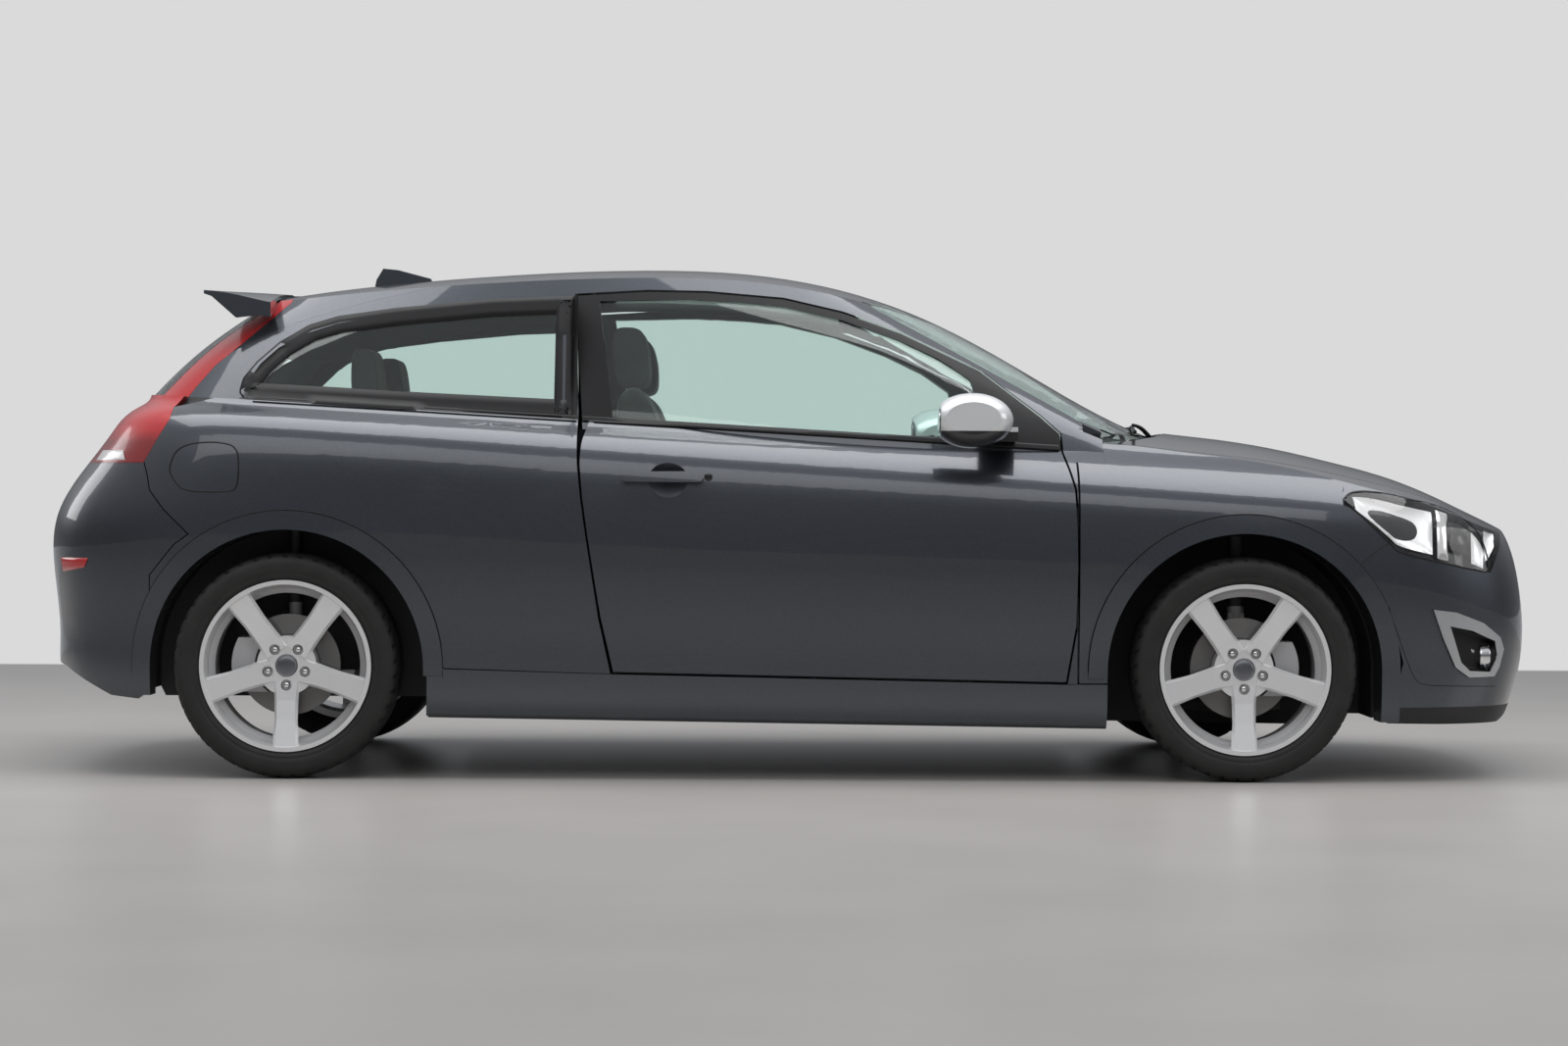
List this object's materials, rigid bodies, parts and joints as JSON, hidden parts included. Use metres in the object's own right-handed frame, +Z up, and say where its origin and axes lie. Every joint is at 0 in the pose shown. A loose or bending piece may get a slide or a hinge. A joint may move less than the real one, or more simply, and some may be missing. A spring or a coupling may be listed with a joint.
{
  "type": "three-door hatchback car",
  "caption": "Compact hatchback with two doors, a glass tailgate, an opening bonnet, a furnished cabin, rolling wheels and steered front wheels.",
  "frame": {"origin": "on the floor, midway between the bumpers' tips and on the centre plane", "axes": "+X to the nose, +Y to the car's left, +Z up"},
  "size_m": [4.2655, 2.036, 1.453],
  "materials": {
    "paint": "metallic gloss",
    "underbody": "matt",
    "black_plastic": "matt",
    "silver_plastic": "satin",
    "lamp_glass": "clear gloss",
    "red_lamp": "gloss",
    "glass": "green tint",
    "alloy": "silver lacquer",
    "tyre": "matt",
    "cast_iron": "rough",
    "steel": "brushed",
    "upholstery": "woven"
  },
  "bodies": {
    "body": {"body_side_right": "paint", "body_side_left": "paint", "roof": "paint", "fender_right": "paint", "fender_left": "paint", "front_bumper": "paint", "rear_bumper": "paint", "side_skirts": "paint", "arch_flares": "paint", "floor_pan": "underbody", "front_structure": "underbody", "rear_structure": "underbody", "grille": "black_plastic", "dashboard": "black_plastic", "fog_lamps": "silver_plastic", "headlamps": "lamp_glass", "tail_lamps": "red_lamp", "windscreen": "glass", "quarter_glass": "glass", "rear_axle": "cast_iron", "front_arms": "cast_iron", "drive_shafts": "steel", "engine": "cast_iron", "exhaust": "steel", "front_seats": "upholstery", "rear_seats": "upholstery"},
    "door_right": {"door_right": "paint", "door_glass_right": "glass", "mirror_right": "silver_plastic", "door_handle_right": "paint"},
    "door_left": {"door_left": "paint", "door_glass_left": "glass", "mirror_left": "silver_plastic", "door_handle_left": "paint"},
    "bonnet": {"bonnet": "paint"},
    "tailgate": {"tailgate_glass": "glass", "tailgate_frame": "underbody", "rear_spoiler": "paint"},
    "steer_right": {"knuckle_front_right": "cast_iron"},
    "steer_left": {"knuckle_front_left": "cast_iron"},
    "steering_wheel": {"steering_wheel": "black_plastic"},
    "wheel_front_right": {"wheel_front_right": "alloy", "tyre_front_right": "tyre"},
    "wheel_front_left": {"wheel_front_left": "alloy", "tyre_front_left": "tyre"},
    "wheel_rear_right": {"wheel_rear_right": "alloy", "tyre_rear_right": "tyre"},
    "wheel_rear_left": {"wheel_rear_left": "alloy", "tyre_rear_left": "tyre"}
  },
  "joints": [
    {"name": "door_right_hinge", "type": "hinge", "parent": "body", "child": "door_right", "pos_m": [0.742, -0.876, 0.58], "axis": [0, 0, 1], "range_deg": [0, 65]},
    {"name": "door_left_hinge", "type": "hinge", "parent": "body", "child": "door_left", "pos_m": [0.742, 0.876, 0.58], "axis": [0, 0, -1], "range_deg": [0, 65]},
    {"name": "bonnet_hinge", "type": "hinge", "parent": "body", "child": "bonnet", "pos_m": [0.812, 0, 0.922], "axis": [0, -1, 0], "range_deg": [0, 55]},
    {"name": "tailgate_hinge", "type": "hinge", "parent": "body", "child": "tailgate", "pos_m": [-1.466, 0, 1.362], "axis": [0, 1, 0], "range_deg": [0, 75]},
    {"name": "steer_left_kingpin", "type": "hinge", "parent": "body", "child": "steer_left", "pos_m": [1.249, 0.712, 0.31], "axis": [0, 0, 1], "range_deg": [-35, 35]},
    {"name": "steer_right_kingpin", "type": "hinge", "parent": "body", "child": "steer_right", "pos_m": [1.249, -0.712, 0.31], "axis": [0, 0, 1], "range_deg": [-35, 35]},
    {"name": "steering_column", "type": "hinge", "parent": "body", "child": "steering_wheel", "pos_m": [0.36, 0.37, 0.79], "axis": [-0.9063, 0, 0.4226], "range_deg": [-525, 525]},
    {"name": "wheel_front_right_spin", "type": "hinge", "parent": "steer_right", "child": "wheel_front_right", "pos_m": [1.249, -0.774, 0.31], "axis": [0, 1, 0], "continuous": true},
    {"name": "wheel_front_left_spin", "type": "hinge", "parent": "steer_left", "child": "wheel_front_left", "pos_m": [1.249, 0.774, 0.31], "axis": [0, 1, 0], "continuous": true},
    {"name": "wheel_rear_right_spin", "type": "hinge", "parent": "body", "child": "wheel_rear_right", "pos_m": [-1.391, -0.774, 0.31], "axis": [0, 1, 0], "continuous": true},
    {"name": "wheel_rear_left_spin", "type": "hinge", "parent": "body", "child": "wheel_rear_left", "pos_m": [-1.391, 0.774, 0.31], "axis": [0, 1, 0], "continuous": true}
  ],
  "couplings": [
    {"joint": "steer_right_kingpin", "follows": "steer_left_kingpin", "ratio": 1},
    {"joint": "steering_column", "follows": "steer_left_kingpin", "ratio": 15}
  ]
}
